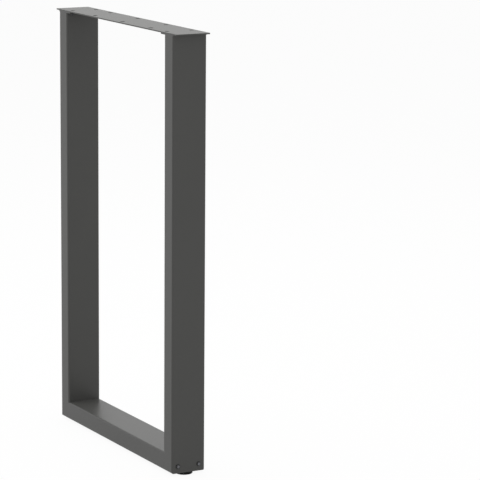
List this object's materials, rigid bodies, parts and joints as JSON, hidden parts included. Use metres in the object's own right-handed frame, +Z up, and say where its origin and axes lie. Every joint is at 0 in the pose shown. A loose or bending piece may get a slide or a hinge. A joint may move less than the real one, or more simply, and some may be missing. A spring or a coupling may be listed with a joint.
{
  "type": "u shaped table leg",
  "caption": "U shaped table leg of rectangular steel tube: upright posts mitred to a flat bottom bar, a drilled top plate for the tabletop, and screw-in levelling feet.",
  "frame": {"origin": "on the floor, under the middle of the frame", "axes": "+Z up; +X along the frame, from the left post to the right post; +Y to the back"},
  "size_m": [0.444, 0.06, 0.72],
  "materials": {
    "powder_coat": "anthracite powder coat, semi-gloss",
    "screws": "black oxide",
    "zinc_steel": "zinc plated",
    "black_plastic": "moulded, matt"
  },
  "bodies": {
    "frame": {"top_plate": "powder_coat", "bottom_bar": "powder_coat", "left_post": "powder_coat", "right_post": "powder_coat", "left_post_flange": "powder_coat", "right_post_flange": "powder_coat", "left_flange_weld": "powder_coat", "right_flange_weld": "powder_coat", "left_plate_screws": "screws", "right_plate_screws": "screws", "left_foot_bracket": "zinc_steel", "right_foot_bracket": "zinc_steel", "left_bracket_bolts": "screws", "right_bracket_bolts": "screws", "left_foot_nut": "zinc_steel", "right_foot_nut": "zinc_steel"},
    "left_foot": {"left_foot_stud": "zinc_steel", "left_foot_pad": "black_plastic"},
    "right_foot": {"right_foot_stud": "zinc_steel", "right_foot_pad": "black_plastic"}
  },
  "joints": [
    {"name": "left_foot_level", "type": "slide", "parent": "frame", "child": "left_foot", "axis": [0, 0, -1], "range_m": [0, 0.01]},
    {"name": "right_foot_level", "type": "slide", "parent": "frame", "child": "right_foot", "axis": [0, 0, -1], "range_m": [0, 0.01]}
  ]
}
